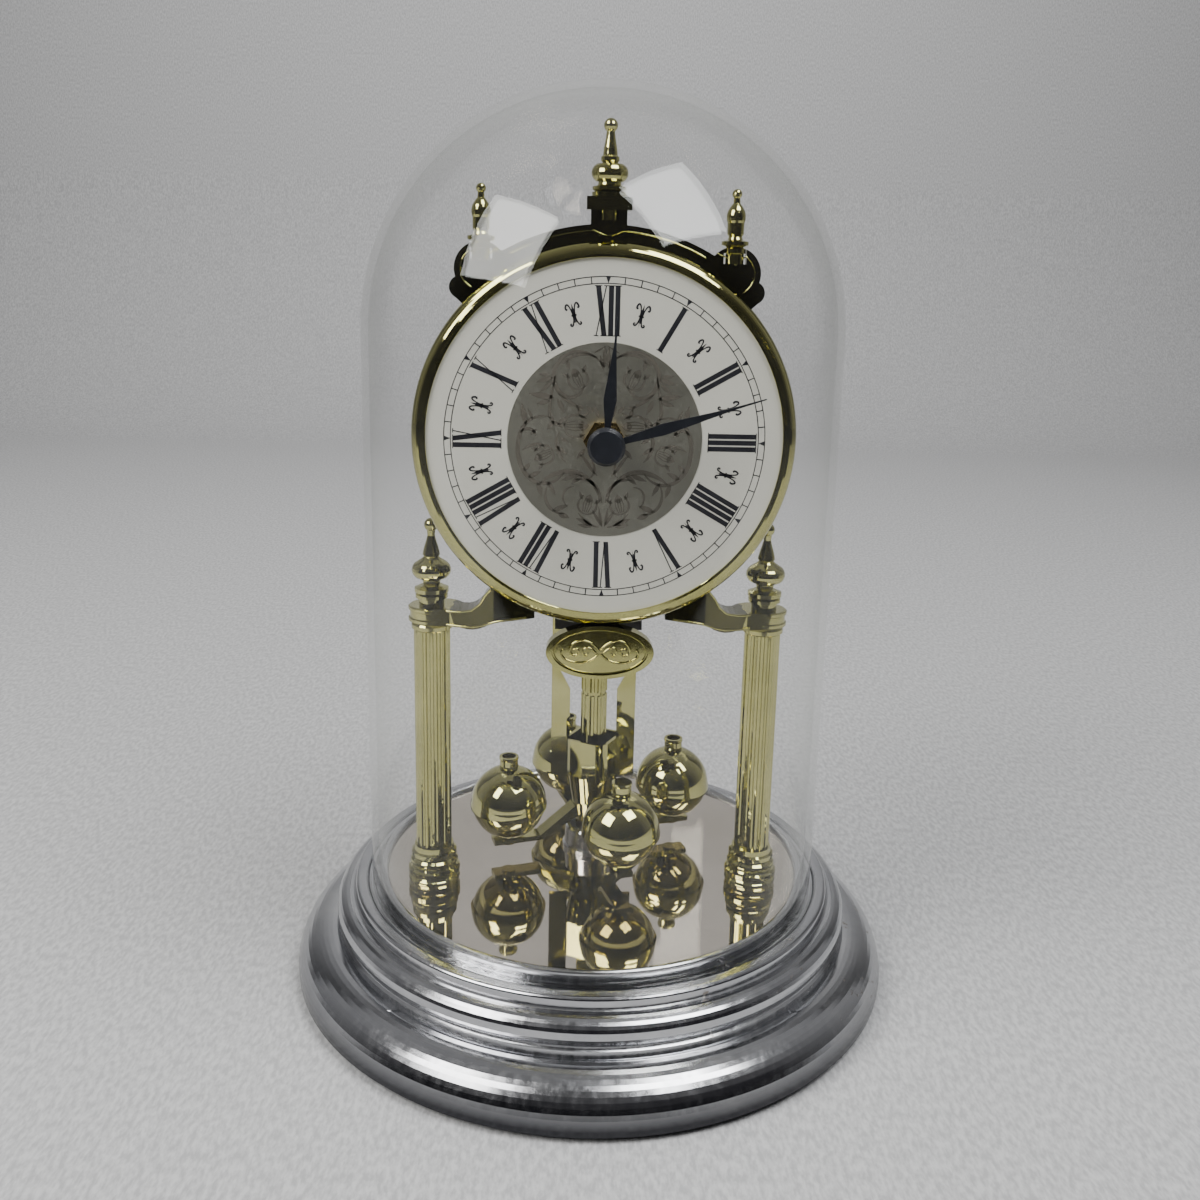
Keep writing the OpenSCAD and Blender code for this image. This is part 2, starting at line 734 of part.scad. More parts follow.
hour_angle = minutes / 2 + hour_slip;
minute_angle = minutes * 6;

module clock_turn(a) {
    translate([0, 0, dial_z]) rotate([0, a, 0]) translate([0, 0, -dial_z]) children();
}

// Lance hand pointing at twelve
module lance(len, width, boss_r, bore_r, y) {
    neck = 12;
    upright(y, hand_t) translate([0, dial_z]) difference() {
        polygon(concat(arc([0, 0], boss_r, 90 + neck, 450 - neck, 40),
            [[0.75, 5], [width / 2, len * 0.36], [0.28, len * 0.78], [0.12, len],
                [-0.12, len], [-0.28, len * 0.78], [-width / 2, len * 0.36], [-0.75, 5]]));
        circle(r = bore_r);
    }
}

module minute_hand() {
    color("black") clock_turn(minute_angle) lance(37.3, 2.6, 3.4, arbor_r, minute_hand_y);
}

module hand_cap() {
    color("black") translate([0, minute_hand_y, dial_z]) rotate([90, 0, 0]) rotate_extrude() polygon([
        [0, 0], [cap_r, 0], [cap_r, 1.6], [cap_r - 0.7, 2.4], [0, 2.4]]);
}

module minute_arbor() {
    color("gainsboro") {
        bar_y(0, minute_hand_y, dial_z, arbor_r, case_back - 0.4 - minute_hand_y);
        upright(wheel_gear_y, gear_t) translate([0, dial_z]) difference() {
            gear_outline(pinion_a_n, mod_a, wheel_dir);
            circle(r = arbor_r);
        }
    }
}

module hour_hand() {
    color("black") clock_turn(hour_angle) lance(28.5, 3, 3.6, hour_tube_r, hour_hand_y);
}

module hour_wheel() {
    color("gainsboro") {
        ring_y(0, hour_hand_y, dial_z, hour_tube_r, arbor_r + running, hour_gear_y - hour_hand_y + gear_t);
        upright(hour_gear_y, gear_t) translate([0, dial_z]) difference() {
            gear_outline(wheel_b_n, mod_b, wheel_dir - 180 / wheel_b_n);
            circle(r = hour_tube_r);
        }
    }
}

module minute_wheel() {
    color("gainsboro") translate([wheel_x, 0, wheel_z]) {
        upright(wheel_gear_y, gear_t) difference() {
            gear_outline(wheel_a_n, mod_a, 0);
            circle(r = stud_r + running);
        }
        upright(hour_gear_y - 0.3, wheel_gear_y - hour_gear_y + 0.3) difference() {
            gear_outline(pinion_b_n, mod_b, wheel_dir + 180);
            circle(r = stud_r + running);
        }
    }
}

module setting_knob() {
    knob_y = case_back + 0.6;
    knurls = 36;
    color("dimgray") translate([knob_x, 0, knob_z]) {
        upright(wheel_gear_y, gear_t) gear_outline(knob_n, mod_k, knob_dir + 180 + 180 / knob_n);
        bar_y(0, wheel_gear_y + gear_t, 0, knob_shaft_r, knob_y - wheel_gear_y - gear_t);
        upright(knob_y, 3) polygon([for (i = [0:knurls - 1])
            (i % 2 == 0 ? 4.6 : 4.2) * [cos(i * 360 / knurls), sin(i * 360 / knurls)]]);
    }
}

module battery() {
    color("goldenrod") translate([-battery_len / 2, battery_y, battery_z]) rotate([0, 90, 0]) {
        cylinder(r = battery_r, h = battery_len - 1.4);
    }
}

module battery_pole() {
    color("silver") translate([battery_len / 2 - 1.4, battery_y, battery_z]) rotate([0, 90, 0])
        cylinder(r = 2.7, h = 1.4);
}

// ---- dome ----

module glass_dome() {
    color("azure", 0.3) rotate_extrude() difference() {
        union() {
            translate([0, dome_foot_z]) square([dome_r, dome_mid_z - dome_foot_z]);
            intersection() {
                translate([0, dome_mid_z]) circle(r = dome_r, $fn = 144);
                translate([0, dome_mid_z]) square([dome_r, dome_r]);
            }
        }
        translate([-1, dome_foot_z - 1]) square([dome_in + 1, dome_mid_z - dome_foot_z + 1]);
        translate([0, dome_mid_z]) circle(r = dome_in, $fn = 144);
    }
}

base_shell();
base_bottom_plate();
base_felt();
cover_screws();
deck_plate();
pendulum_guide_cup();
column(-1);  // column_left
column(1);  // column_right
column_foot(-1);  // column_foot_left
column_foot(1);  // column_foot_right
column_rods();
column_nuts();
column_finial(-1);  // column_finial_left
column_finial(1);  // column_finial_right
yoke_bracket();
crest_plate();
centre_finial();  // crest_finial_centre
ear_finial(-1);  // crest_finial_left
ear_finial(1);  // crest_finial_right
bezel();
dial_pan();
dial_plate();
dial_centre();
plaque();
yoke_screws();
guard_fork();
movement_case();
movement_cover();
cover_clips();
centre_bush();
bush_nut();
circuit_board();
crystal_can();
motor_coil();
motor_stator();
battery_contacts();
minute_wheel_stud();
drive_housing();
drive_coil();
suspension_plate();
pendulum_hanger();
pendulum_magnet();
pendulum_tube();
pendulum_cup();
pendulum_spindle();
pendulum_arms();
ball_tops();
ball_bottoms();
ball_nuts();
ball_screws();
minute_hand();
hand_cap();
minute_arbor();
hour_hand();
hour_wheel();
minute_wheel();
setting_knob();
battery();
battery_pole();
glass_dome();
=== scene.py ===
"""Anniversary clock: looks, dial printing, ornaments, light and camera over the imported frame."""
import json
import math

import bpy
from mathutils import Matrix, Vector


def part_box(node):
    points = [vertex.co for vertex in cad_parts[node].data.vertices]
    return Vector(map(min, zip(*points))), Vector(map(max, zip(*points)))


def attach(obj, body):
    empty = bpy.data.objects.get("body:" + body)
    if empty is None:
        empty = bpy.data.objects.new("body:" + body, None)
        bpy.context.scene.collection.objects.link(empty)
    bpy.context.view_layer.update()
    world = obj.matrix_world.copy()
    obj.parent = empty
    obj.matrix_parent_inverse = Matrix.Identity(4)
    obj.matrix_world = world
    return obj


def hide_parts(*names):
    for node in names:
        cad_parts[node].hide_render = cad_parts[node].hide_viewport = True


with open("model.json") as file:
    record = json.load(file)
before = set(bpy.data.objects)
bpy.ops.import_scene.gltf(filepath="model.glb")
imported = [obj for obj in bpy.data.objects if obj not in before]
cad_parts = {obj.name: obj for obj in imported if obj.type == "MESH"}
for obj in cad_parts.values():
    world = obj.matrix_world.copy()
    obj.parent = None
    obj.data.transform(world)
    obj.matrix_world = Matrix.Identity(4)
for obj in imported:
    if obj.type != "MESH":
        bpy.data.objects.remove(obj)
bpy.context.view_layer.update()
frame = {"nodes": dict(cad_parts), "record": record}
nodes = frame["nodes"]
MM = 0.001
PRINT_MM = 0.981 * MM    # a drawn millimetre of the dial printing, as long as it is on the clock
CREST_MM = 0.984 * MM    # the same for the lines on the crest
PRINT_LIFT = 0.03 * MM   # how far the printing stands in front of its plate
LEFT_RIGHT = ((-1, "left"), (1, "right"))

# ---------------------------------------------------------------- places read from the frame
dial_low, dial_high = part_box("dial_plate")
DIAL_X = (dial_low.x + dial_high.x) / 2
DIAL_Z = (dial_low.z + dial_high.z) / 2
DIAL_Y = dial_low.y
DISC_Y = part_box("dial_centre")[0].y
DECK_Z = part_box("deck_plate")[1].z
plaque_low, plaque_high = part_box("plaque")
crest_low, crest_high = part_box("crest_plate")
YOKE_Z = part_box("yoke_bracket")[0].z


# ---------------------------------------------------------------- material helpers
def new_material(name):
    """An empty node material with its Principled shader."""
    made = bpy.data.materials.new(name)
    made.use_nodes = True
    return made, made.node_tree, made.node_tree.nodes["Principled BSDF"]


def add(tree, kind, **values):
    """A node with its plain properties and input sockets set by name."""
    node = tree.nodes.new(kind)
    for key, value in values.items():
        if key.startswith("in_"):
            node.inputs[key[3:].replace("_", " ")].default_value = value
        else:
            setattr(node, key, value)
    return node


def object_axis(tree, output, axis):
    """One coordinate, X, Y or Z, of the named texture coordinate output."""
    place = add(tree, "ShaderNodeTexCoord")
    split = add(tree, "ShaderNodeSeparateXYZ")
    tree.links.new(place.outputs[output], split.inputs[0])
    return split.outputs[axis]


def object_noise(tree, scale, detail=4.0, roughness=0.55, stretch=(1, 1, 1)):
    """Noise in object space; stretch shrinks a direction to draw it out into streaks."""
    place = add(tree, "ShaderNodeTexCoord")
    mapping = add(tree, "ShaderNodeMapping")
    mapping.inputs["Scale"].default_value = stretch
    noise = add(tree, "ShaderNodeTexNoise", in_Scale=scale, in_Detail=detail,
                in_Roughness=roughness)
    tree.links.new(place.outputs["Object"], mapping.inputs["Vector"])
    tree.links.new(mapping.outputs["Vector"], noise.inputs["Vector"])
    return noise.outputs["Fac"]


def ramp(tree, source, stops):
    """Colour ramp; stops are (position, rgb)."""
    node = add(tree, "ShaderNodeValToRGB")
    while len(node.color_ramp.elements) < len(stops):
        node.color_ramp.elements.new(0.5)
    for element, (position, colour) in zip(node.color_ramp.elements, stops):
        element.position = position
        element.color = (*colour, 1.0)
    tree.links.new(source, node.inputs["Fac"])
    return node.outputs["Color"]


def tones(low, high, start=0.3):
    """Two colour stops over the middle of the noise."""
    return [(start, low), (0.7, high)]


def spread(tree, source, low, high, start=0.3, stop=0.7):
    """Maps the source from start..stop onto low..high."""
    node = add(tree, "ShaderNodeMapRange")
    node.inputs["From Min"].default_value = start
    node.inputs["From Max"].default_value = stop
    node.inputs["To Min"].default_value = low
    node.inputs["To Max"].default_value = high
    tree.links.new(source, node.inputs["Value"])
    return node.outputs["Result"]


def scaled(tree, source, factor, offset):
    """The source times a factor, plus an offset that varies over the surface."""
    node = add(tree, "ShaderNodeMath", operation="MULTIPLY_ADD")
    tree.links.new(source, node.inputs[0])
    node.inputs[1].default_value = factor
    tree.links.new(offset, node.inputs[2])
    return node.outputs[0]


def mixed(tree, factor):
    """A colour mix driven by the factor; its ends are set by the caller."""
    node = add(tree, "ShaderNodeMix", data_type="RGBA")
    tree.links.new(factor, node.inputs["Factor"])
    return node


def bump(tree, source, strength, distance):
    """A normal that follows the source as a fine relief."""
    node = add(tree, "ShaderNodeBump", in_Strength=strength, in_Distance=distance)
    tree.links.new(source, node.inputs["Height"])
    return node.outputs["Normal"]


def metal(name, stops, rough, patch=60.0, grain=900.0, grain_depth=0.01 * MM, stretch=(1, 1, 1)):
    """Metal whose colour drifts in patches and whose polish is broken by fine grain."""
    made, tree, shader = new_material(name)
    shader.inputs["Metallic"].default_value = 1.0
    tree.links.new(ramp(tree, object_noise(tree, patch), stops), shader.inputs["Base Color"])
    fine = object_noise(tree, grain, detail=3.0, roughness=0.6, stretch=stretch)
    tree.links.new(spread(tree, fine, *rough), shader.inputs["Roughness"])
    tree.links.new(bump(tree, fine, 0.25, grain_depth), shader.inputs["Normal"])
    return made


def solid(name, stops, rough, patch=80.0, grain=2500.0, grain_depth=0.03 * MM, sheen=0.0):
    """Paint, plastic or cloth with drifting colour and a fine surface."""
    made, tree, shader = new_material(name)
    tree.links.new(ramp(tree, object_noise(tree, patch), stops), shader.inputs["Base Color"])
    fine = object_noise(tree, grain)
    tree.links.new(spread(tree, fine, *rough), shader.inputs["Roughness"])
    tree.links.new(bump(tree, fine, 0.3, grain_depth), shader.inputs["Normal"])
    shader.inputs["Sheen Weight"].default_value = sheen
    return made


# ---------------------------------------------------------------- materials
def nickel_material():
    """Worn nickel: cloudy polish, brown flecks, hair scratches and a base colour that darkens
    towards the floor.
    """
    made, tree, shader = new_material("worn_nickel")
    shader.inputs["Metallic"].default_value = 1.0
    patches = object_noise(tree, 38, detail=8.0, roughness=0.62)
    clean = ramp(tree, patches, [(0.30, (0.44, 0.445, 0.47)), (0.55, (0.54, 0.545, 0.56)),
                                 (0.78, (0.66, 0.66, 0.665))])
    flecks = object_noise(tree, 210, detail=9.0, roughness=0.7, stretch=(1, 1, 2.2))
    clouds = object_noise(tree, 17, detail=3.0, roughness=0.5)
    worn = add(tree, "ShaderNodeMath", operation="MULTIPLY")
    tree.links.new(spread(tree, flecks, 0.0, 1.0, start=0.60, stop=0.66), worn.inputs[0])
    tree.links.new(spread(tree, clouds, 0.0, 0.75, start=0.52, stop=0.66), worn.inputs[1])
    flecked = mixed(tree, worn.outputs[0])
    tree.links.new(clean, flecked.inputs["A"])
    flecked.inputs["B"].default_value = (0.26, 0.215, 0.165, 1.0)
    # The base colour turns near-black towards the floor, between 11 mm and 3 mm up.
    height = object_axis(tree, "Object", "Z")
    darker_near_floor = mixed(tree, spread(tree, height, 1.0, 0.0, start=3.0 * MM, stop=11.0 * MM))
    tree.links.new(flecked.outputs["Result"], darker_near_floor.inputs["A"])
    darker_near_floor.inputs["B"].default_value = (0.05, 0.05, 0.055, 1.0)
    tree.links.new(darker_near_floor.outputs["Result"], shader.inputs["Base Color"])
    scratch = object_noise(tree, 520, detail=5.0, roughness=0.7, stretch=(1, 1, 0.08))
    polish = spread(tree, scratch, 0.12, 0.26, start=0.35, stop=0.75)
    tree.links.new(scaled(tree, worn.outputs[0], 0.30, polish), shader.inputs["Roughness"])
    tree.links.new(bump(tree, scratch, 0.20, 0.03 * MM), shader.inputs["Normal"])
    return made


def dome_material():
    """Clear dome: see-through face on, brighter and more mirror-like towards its edges."""
    made, tree, shader = new_material("clear_dome")
    shader.inputs["Base Color"].default_value = (0.90, 0.91, 0.88, 1.0)
    shader.inputs["Metallic"].default_value = 1.0
    shader.inputs["Roughness"].default_value = 0.02
    facing = add(tree, "ShaderNodeLayerWeight", in_Blend=0.5)
    edge = add(tree, "ShaderNodeMath", operation="POWER")
    tree.links.new(facing.outputs["Facing"], edge.inputs[0])
    edge.inputs[1].default_value = 4.6
    film = spread(tree, object_noise(tree, 30, detail=5.0, roughness=0.6), 0.022, 0.034)
    tree.links.new(scaled(tree, edge.outputs[0], 0.85, film), shader.inputs["Alpha"])
    return made


gilt = metal("pale_gilt", [(0.25, (0.42, 0.40, 0.155)), (0.55, (0.50, 0.475, 0.19)),
                           (0.8, (0.60, 0.57, 0.25))], rough=(0.03, 0.07))
# Painted shade: a darker copy of the gilt for the yoke arms.
gilt_shaded = metal("gilt_shaded_arm", tones((0.075, 0.071, 0.028), (0.12, 0.113, 0.046), 0.25),
                    rough=(0.05, 0.12))
# Painted shade: a darker copy of the gilt for the crest plate, standing for the dark room its flat
# face mirrors.
gilt_crest_shade = metal("gilt_crest_painted_shade", tones((0.17, 0.16, 0.07), (0.25, 0.235, 0.11), 0.25),
                  rough=(0.04, 0.10))
nickel = nickel_material()
deck_mirror = metal("deck_mirror", tones((0.56, 0.505, 0.43), (0.65, 0.595, 0.52)),
                    rough=(0.02, 0.05), patch=30, grain=400)
steel = metal("zinc_steel", tones((0.50, 0.50, 0.50), (0.66, 0.66, 0.65)), rough=(0.22, 0.4))
bright_steel = metal("bright_steel", tones((0.62, 0.62, 0.61), (0.76, 0.76, 0.75)),
                     rough=(0.10, 0.22))
zinc_pan = metal("zinc_pan", tones((0.46, 0.47, 0.47), (0.58, 0.59, 0.59)), rough=(0.3, 0.5))
brass = metal("turned_brass", tones((0.70, 0.54, 0.24), (0.82, 0.66, 0.34)), rough=(0.15, 0.3))
copper = metal("copper_wire", tones((0.55, 0.22, 0.09), (0.72, 0.34, 0.16)), rough=(0.25, 0.4),
               grain=1500, grain_depth=0.06 * MM, stretch=(1, 1, 6))
magnet = metal("sintered_magnet", tones((0.16, 0.16, 0.17), (0.26, 0.26, 0.27)),
               rough=(0.35, 0.55))
dial_white = solid("dial_enamel", tones((0.61, 0.605, 0.53), (0.67, 0.66, 0.585)),
                   rough=(0.38, 0.5), patch=22)
dial_silver = metal("dial_silver", tones((0.31, 0.305, 0.255), (0.40, 0.395, 0.335), 0.25),
                    rough=(0.42, 0.55), patch=35, grain=1500)
dial_dark = solid("dial_ornament_print", tones((0.085, 0.078, 0.062), (0.12, 0.11, 0.09)),
                  rough=(0.4, 0.6))
print_black = solid("dial_print_black", tones((0.010, 0.010, 0.014), (0.022, 0.022, 0.028)),
                    rough=(0.4, 0.55))
hand_black = solid("hand_black", tones((0.008, 0.009, 0.012), (0.018, 0.020, 0.026)),
                   rough=(0.28, 0.42))
case_black = solid("case_plastic", tones((0.02, 0.02, 0.022), (0.045, 0.045, 0.048)),
                   rough=(0.45, 0.65))
card_black = solid("bottom_card", tones((0.02, 0.02, 0.02), (0.05, 0.05, 0.045)),
                   rough=(0.6, 0.8))
felt_green = solid("green_felt", tones((0.015, 0.07, 0.035), (0.035, 0.12, 0.065)),
                   rough=(0.85, 0.98), patch=300, grain=4500, grain_depth=0.3 * MM, sheen=0.4)
board_green = solid("circuit_board", tones((0.012, 0.09, 0.035), (0.03, 0.16, 0.07)),
                    rough=(0.3, 0.5), patch=400)
acetal = solid("white_acetal", tones((0.72, 0.71, 0.66), (0.82, 0.81, 0.77)), rough=(0.35, 0.5))
battery_wrap = solid("battery_wrap", tones((0.30, 0.20, 0.05), (0.42, 0.29, 0.09)),
                     rough=(0.2, 0.35))
clear_dome = dome_material()

BY_SLOT = {
    "nickel_plate": nickel, "gilt_metal": gilt, "black_card": card_black,
    "green_felt": felt_green, "steel": steel, "bright_steel": bright_steel,
    "deck_mirror": deck_mirror, "zinc_pan": zinc_pan, "dial_white": dial_white,
    "dial_silver": dial_silver, "case_plastic": case_black, "cover_plastic": case_black,
    "brass_bush": brass, "board_green": board_green, "copper_wire": copper, "magnet": magnet,
    "hand_black": hand_black, "gear_white": acetal, "battery_wrap": battery_wrap,
    "clear_dome": clear_dome,
}
CREASE_DEGREES = 32.0
ARM_END_X = 36.8 * MM    # the arms of the yoke reach this far out, then the collars begin
TURNED_BACK = 0.5        # y of the normal above which a face looks to the back


def smooth(piece):
    """Smooth shading with creases kept where faces meet at more than the crease angle."""
    piece.data.polygons.foreach_set("use_smooth", [True] * len(piece.data.polygons))
    piece.data.set_sharp_from_angle(angle=math.radians(CREASE_DEGREES))


def paint(piece, material):
    """Gives the piece this material alone."""
    piece.data.materials.clear()
    piece.data.materials.append(material)


def shade_yoke_arms():
    """Painted shade on the yoke arms: a darker copy of the gilt on all faces but their backs, for
    the dark room they mirror; the collars keep the pale gilt.
    """
    yoke = nodes["yoke_bracket"].data
    yoke.materials.append(gilt_shaded)
    for face in yoke.polygons:
        on_arm = abs(face.center.x) < ARM_END_X
        face.material_index = 1 if on_arm and face.normal.y < TURNED_BACK else 0


for part in frame["record"]["subparts"]:
    node = nodes[part["node"]]
    paint(node, BY_SLOT[part["material_slot"]])
    smooth(node)
# The crest plate gets the painted-shade copy of the gilt.
paint(nodes["crest_plate"], gilt_crest_shade)
shade_yoke_arms()


# ---------------------------------------------------------------- shape helpers
def mesh_piece(name, points, faces, material, body):
    """A mesh object that rides a body and carries the given material."""
    mesh = bpy.data.meshes.new(name)
    mesh.from_pydata(points, [], faces)
    mesh.update()
    piece = bpy.data.objects.new(name, mesh)
    bpy.context.scene.collection.objects.link(piece)
    piece.data.materials.append(material)
    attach(piece, body)
    return piece


def arc(radius, start, end, steps):
    """Points of an arc about the origin, from start to end degrees."""
    turns = (math.radians(start + (end - start) * i / steps) for i in range(steps + 1))
    return [(radius * math.cos(a), radius * math.sin(a)) for a in turns]


def curve_line(start, *bends, steps=10):
    """Points of joined cubic Bezier spans: each bend is (handle, handle, end)."""
    line = [start]
    for one, two, end in bends:
        for i in range(1, steps + 1):
            t = i / steps
            s = 1 - t
            line.append(tuple(s**3 * a + 3 * s * s * t * b + 3 * s * t * t * c + t**3 * d
                              for a, b, c, d in zip(start, one, two, end)))
        start = end
    return line


def mirrored(line):
    """The line with left and right exchanged."""
    return [(-u, v) for u, v in line]


def swelling(count, ends, more):
    """Stroke widths that start and end at ends and grow by more at the middle."""
    return [ends + more * math.sin(math.pi * i / (count - 1)) for i in range(count)]


class Print:
    """Flat dial printing, drawn in millimetres: u to the right, v up, from the dial centre."""

    def __init__(self, y):
        self.y = y
        self.points = []
        self.faces = []

    def polygon(self, outline, turn=0.0):
        """Adds a filled outline, turned clockwise by turn degrees as the dial is read."""
        c, s = math.cos(math.radians(turn)), math.sin(math.radians(turn))
        first = len(self.points)
        for u, v in outline:
            x, z = u * c + v * s, v * c - u * s
            self.points.append((DIAL_X + x * PRINT_MM, self.y, DIAL_Z + z * PRINT_MM))
        self.faces.append(tuple(range(first, len(self.points))))

    def stroke(self, line, widths, turn=0.0):
        """Adds a band along a line; widths is one value or one for each point."""
        if not isinstance(widths, (list, tuple)):
            widths = [widths] * len(line)
        sides = []
        for i, (u, v) in enumerate(line):
            before, after = line[max(i - 1, 0)], line[min(i + 1, len(line) - 1)]
            du, dv = after[0] - before[0], after[1] - before[1]
            size = math.hypot(du, dv) or 1.0
            nu, nv = -dv / size * widths[i] / 2, du / size * widths[i] / 2
            sides.append(((u + nu, v + nv), (u - nu, v - nv)))
        for (a, b), (c, d) in zip(sides, sides[1:]):
            self.polygon([a, b, d, c], turn)

    def ring(self, radius, width, steps=180):
        """Adds a closed circle, from the top clockwise."""
        turns = [2 * math.pi * i / steps for i in range(steps + 1)]
        self.stroke([(radius * math.sin(a), radius * math.cos(a)) for a in turns], width)

    def made(self, name, material, slot):
        return mesh_piece(name, self.points, self.faces, material, "stand")


# ---------------------------------------------------------------- dial printing: hours, minutes
HOURS = ("XII", "I", "II", "III", "IIII", "V", "VI", "VII", "VIII", "IX", "X", "XI")
HOUR_DEGREES = 30
MINUTE_DEGREES = 6
TRACK_OUT = 37.8
TRACK_IN = 36.25
TRACK_LINE = 0.2
MINUTE_HALF = 0.12       # half the width of a minute mark
WEDGE_HALF = 0.58        # half the width of the wedge at each hour
NUMERAL_TOP = 35.7
NUMERAL_LOW = 24.4
THICK = 1.15             # heavy stroke
THIN = 0.24              # light stroke
SERIF = 0.2
SERIF_OUT = 0.28         # how far a serif reaches past its stroke
GAP = 0.36               # between letters
WIDE = 2.65              # width of V and X
V_THICK = 0.98 * THICK
V_FOOT = 0.3             # from the heavy to the light stroke at the foot of V


def minute_track(ink):
    """Two circles with a bar at each minute and a wedge at each hour."""
    ink.ring(TRACK_OUT, TRACK_LINE)
    ink.ring(TRACK_IN, TRACK_LINE)
    bar = [(-MINUTE_HALF, TRACK_IN), (MINUTE_HALF, TRACK_IN),
           (MINUTE_HALF, TRACK_OUT), (-MINUTE_HALF, TRACK_OUT)]
    wedge = [(-WEDGE_HALF, TRACK_OUT), (0, TRACK_IN), (WEDGE_HALF, TRACK_OUT)]
    for minute in range(60):
        ink.polygon(bar if minute % 5 else wedge, minute * MINUTE_DEGREES)


def serif(ink, low_u, high_u, v, turn):
    """A short bar over the end of a stroke."""
    low_u, high_u = low_u - SERIF_OUT, high_u + SERIF_OUT
    ink.polygon([(low_u, v - SERIF / 2), (high_u, v - SERIF / 2),
                 (high_u, v + SERIF / 2), (low_u, v + SERIF / 2)], turn)


def slanted(ink, low_u, high_u, width, turn):
    """A straight stroke from low_u at the foot to high_u at the head."""
    half = width / 2
    ink.polygon([(low_u - half, NUMERAL_LOW), (low_u + half, NUMERAL_LOW),
                 (high_u + half, NUMERAL_TOP), (high_u - half, NUMERAL_TOP)], turn)


def letter_width(kind):
    return THICK if kind == "I" else WIDE


def letter(ink, kind, u, turn):
    """Draws one Roman letter with its left edge at u."""
    right = u + letter_width(kind)
    if kind == "I":
        slanted(ink, u + THICK / 2, u + THICK / 2, THICK, turn)
        for v in (NUMERAL_LOW, NUMERAL_TOP):
            serif(ink, u, right, v, turn)
    elif kind == "V":
        slanted(ink, u + WIDE / 2, u + THICK / 2, V_THICK, turn)
        slanted(ink, u + WIDE / 2 + V_FOOT, right - THIN, THIN, turn)
        serif(ink, u, u + THICK, NUMERAL_TOP, turn)
        serif(ink, right - 2 * THIN, right, NUMERAL_TOP, turn)
    else:
        slanted(ink, right - THICK / 2, u + THICK / 2, THICK, turn)
        slanted(ink, u + THIN, right - THIN, THIN, turn)
        for v, near, far in ((NUMERAL_TOP, THICK, 2 * THIN), (NUMERAL_LOW, 2 * THIN, THICK)):
            serif(ink, u, u + near, v, turn)
            serif(ink, right - far, right, v, turn)


def numerals(ink):
    """The twelve hours, each centred on its direction and standing on the inner edge."""
    for hour, text in enumerate(HOURS):
        u = -(sum(letter_width(kind) for kind in text) + GAP * (len(text) - 1)) / 2
        for kind in text:
            letter(ink, kind, u, hour * HOUR_DEGREES)
            u += letter_width(kind) + GAP


# A small sprig between the hours, drawn about its own middle: right-hand stem, curled tip
# above, curled foot below, the tie round the bundle and the spike through it.
SPRIG_V = 29.9
SPRIG_STEM = [(0.26, -1.6), (0.22, 0.0), (0.26, 1.5)]
SPRIG_CURL = curve_line((0.32, 0.2), ((0.4, 2.6), (1.3, 3.4), (1.55, 2.0)),
                        ((1.6, 1.5), (1.25, 1.35), (1.2, 1.75)))
SPRIG_FOOT = curve_line((0.3, -0.3), ((0.3, -1.6), (0.7, -2.6), (1.15, -2.2)),
                        ((1.4, -1.9), (1.1, -1.6), (0.9, -1.85)))
SPRIG_TIE = [(-0.62, -0.2), (0.62, -0.2), (0.62, 0.2), (-0.62, 0.2)]
SPRIG_SPIKE = [(0, 2.8), (-0.22, 1.6), (0, -2.7), (0.22, 1.6)]
SPRIG_STROKES = ((SPRIG_STEM, 0.3), (SPRIG_CURL, swelling(len(SPRIG_CURL), 0.18, 0.26)),
                 (SPRIG_FOOT, swelling(len(SPRIG_FOOT), 0.16, 0.24)))


def half_hour_ornament(ink, turn):
    """One sprig: a bound bundle of stems with curled tips above and below."""
    for side, _ in LEFT_RIGHT:
        for line, widths in SPRIG_STROKES:
            ink.stroke([(side * u, SPRIG_V + v) for u, v in line], widths, turn)
    for outline in (SPRIG_TIE, SPRIG_SPIKE):
        ink.polygon([(u, SPRIG_V + v) for u, v in outline], turn)


# ---------------------------------------------------------------- dial printing: centre
LEAF_STEPS = 8
LEAF_LEAN = 0.8          # below 1 the leaf is fattest nearer its root
VINE_TIP = 0.26          # width of a vine at its ends
VINE_FULL = 1.35         # width of a vine of thickness 1 at its middle

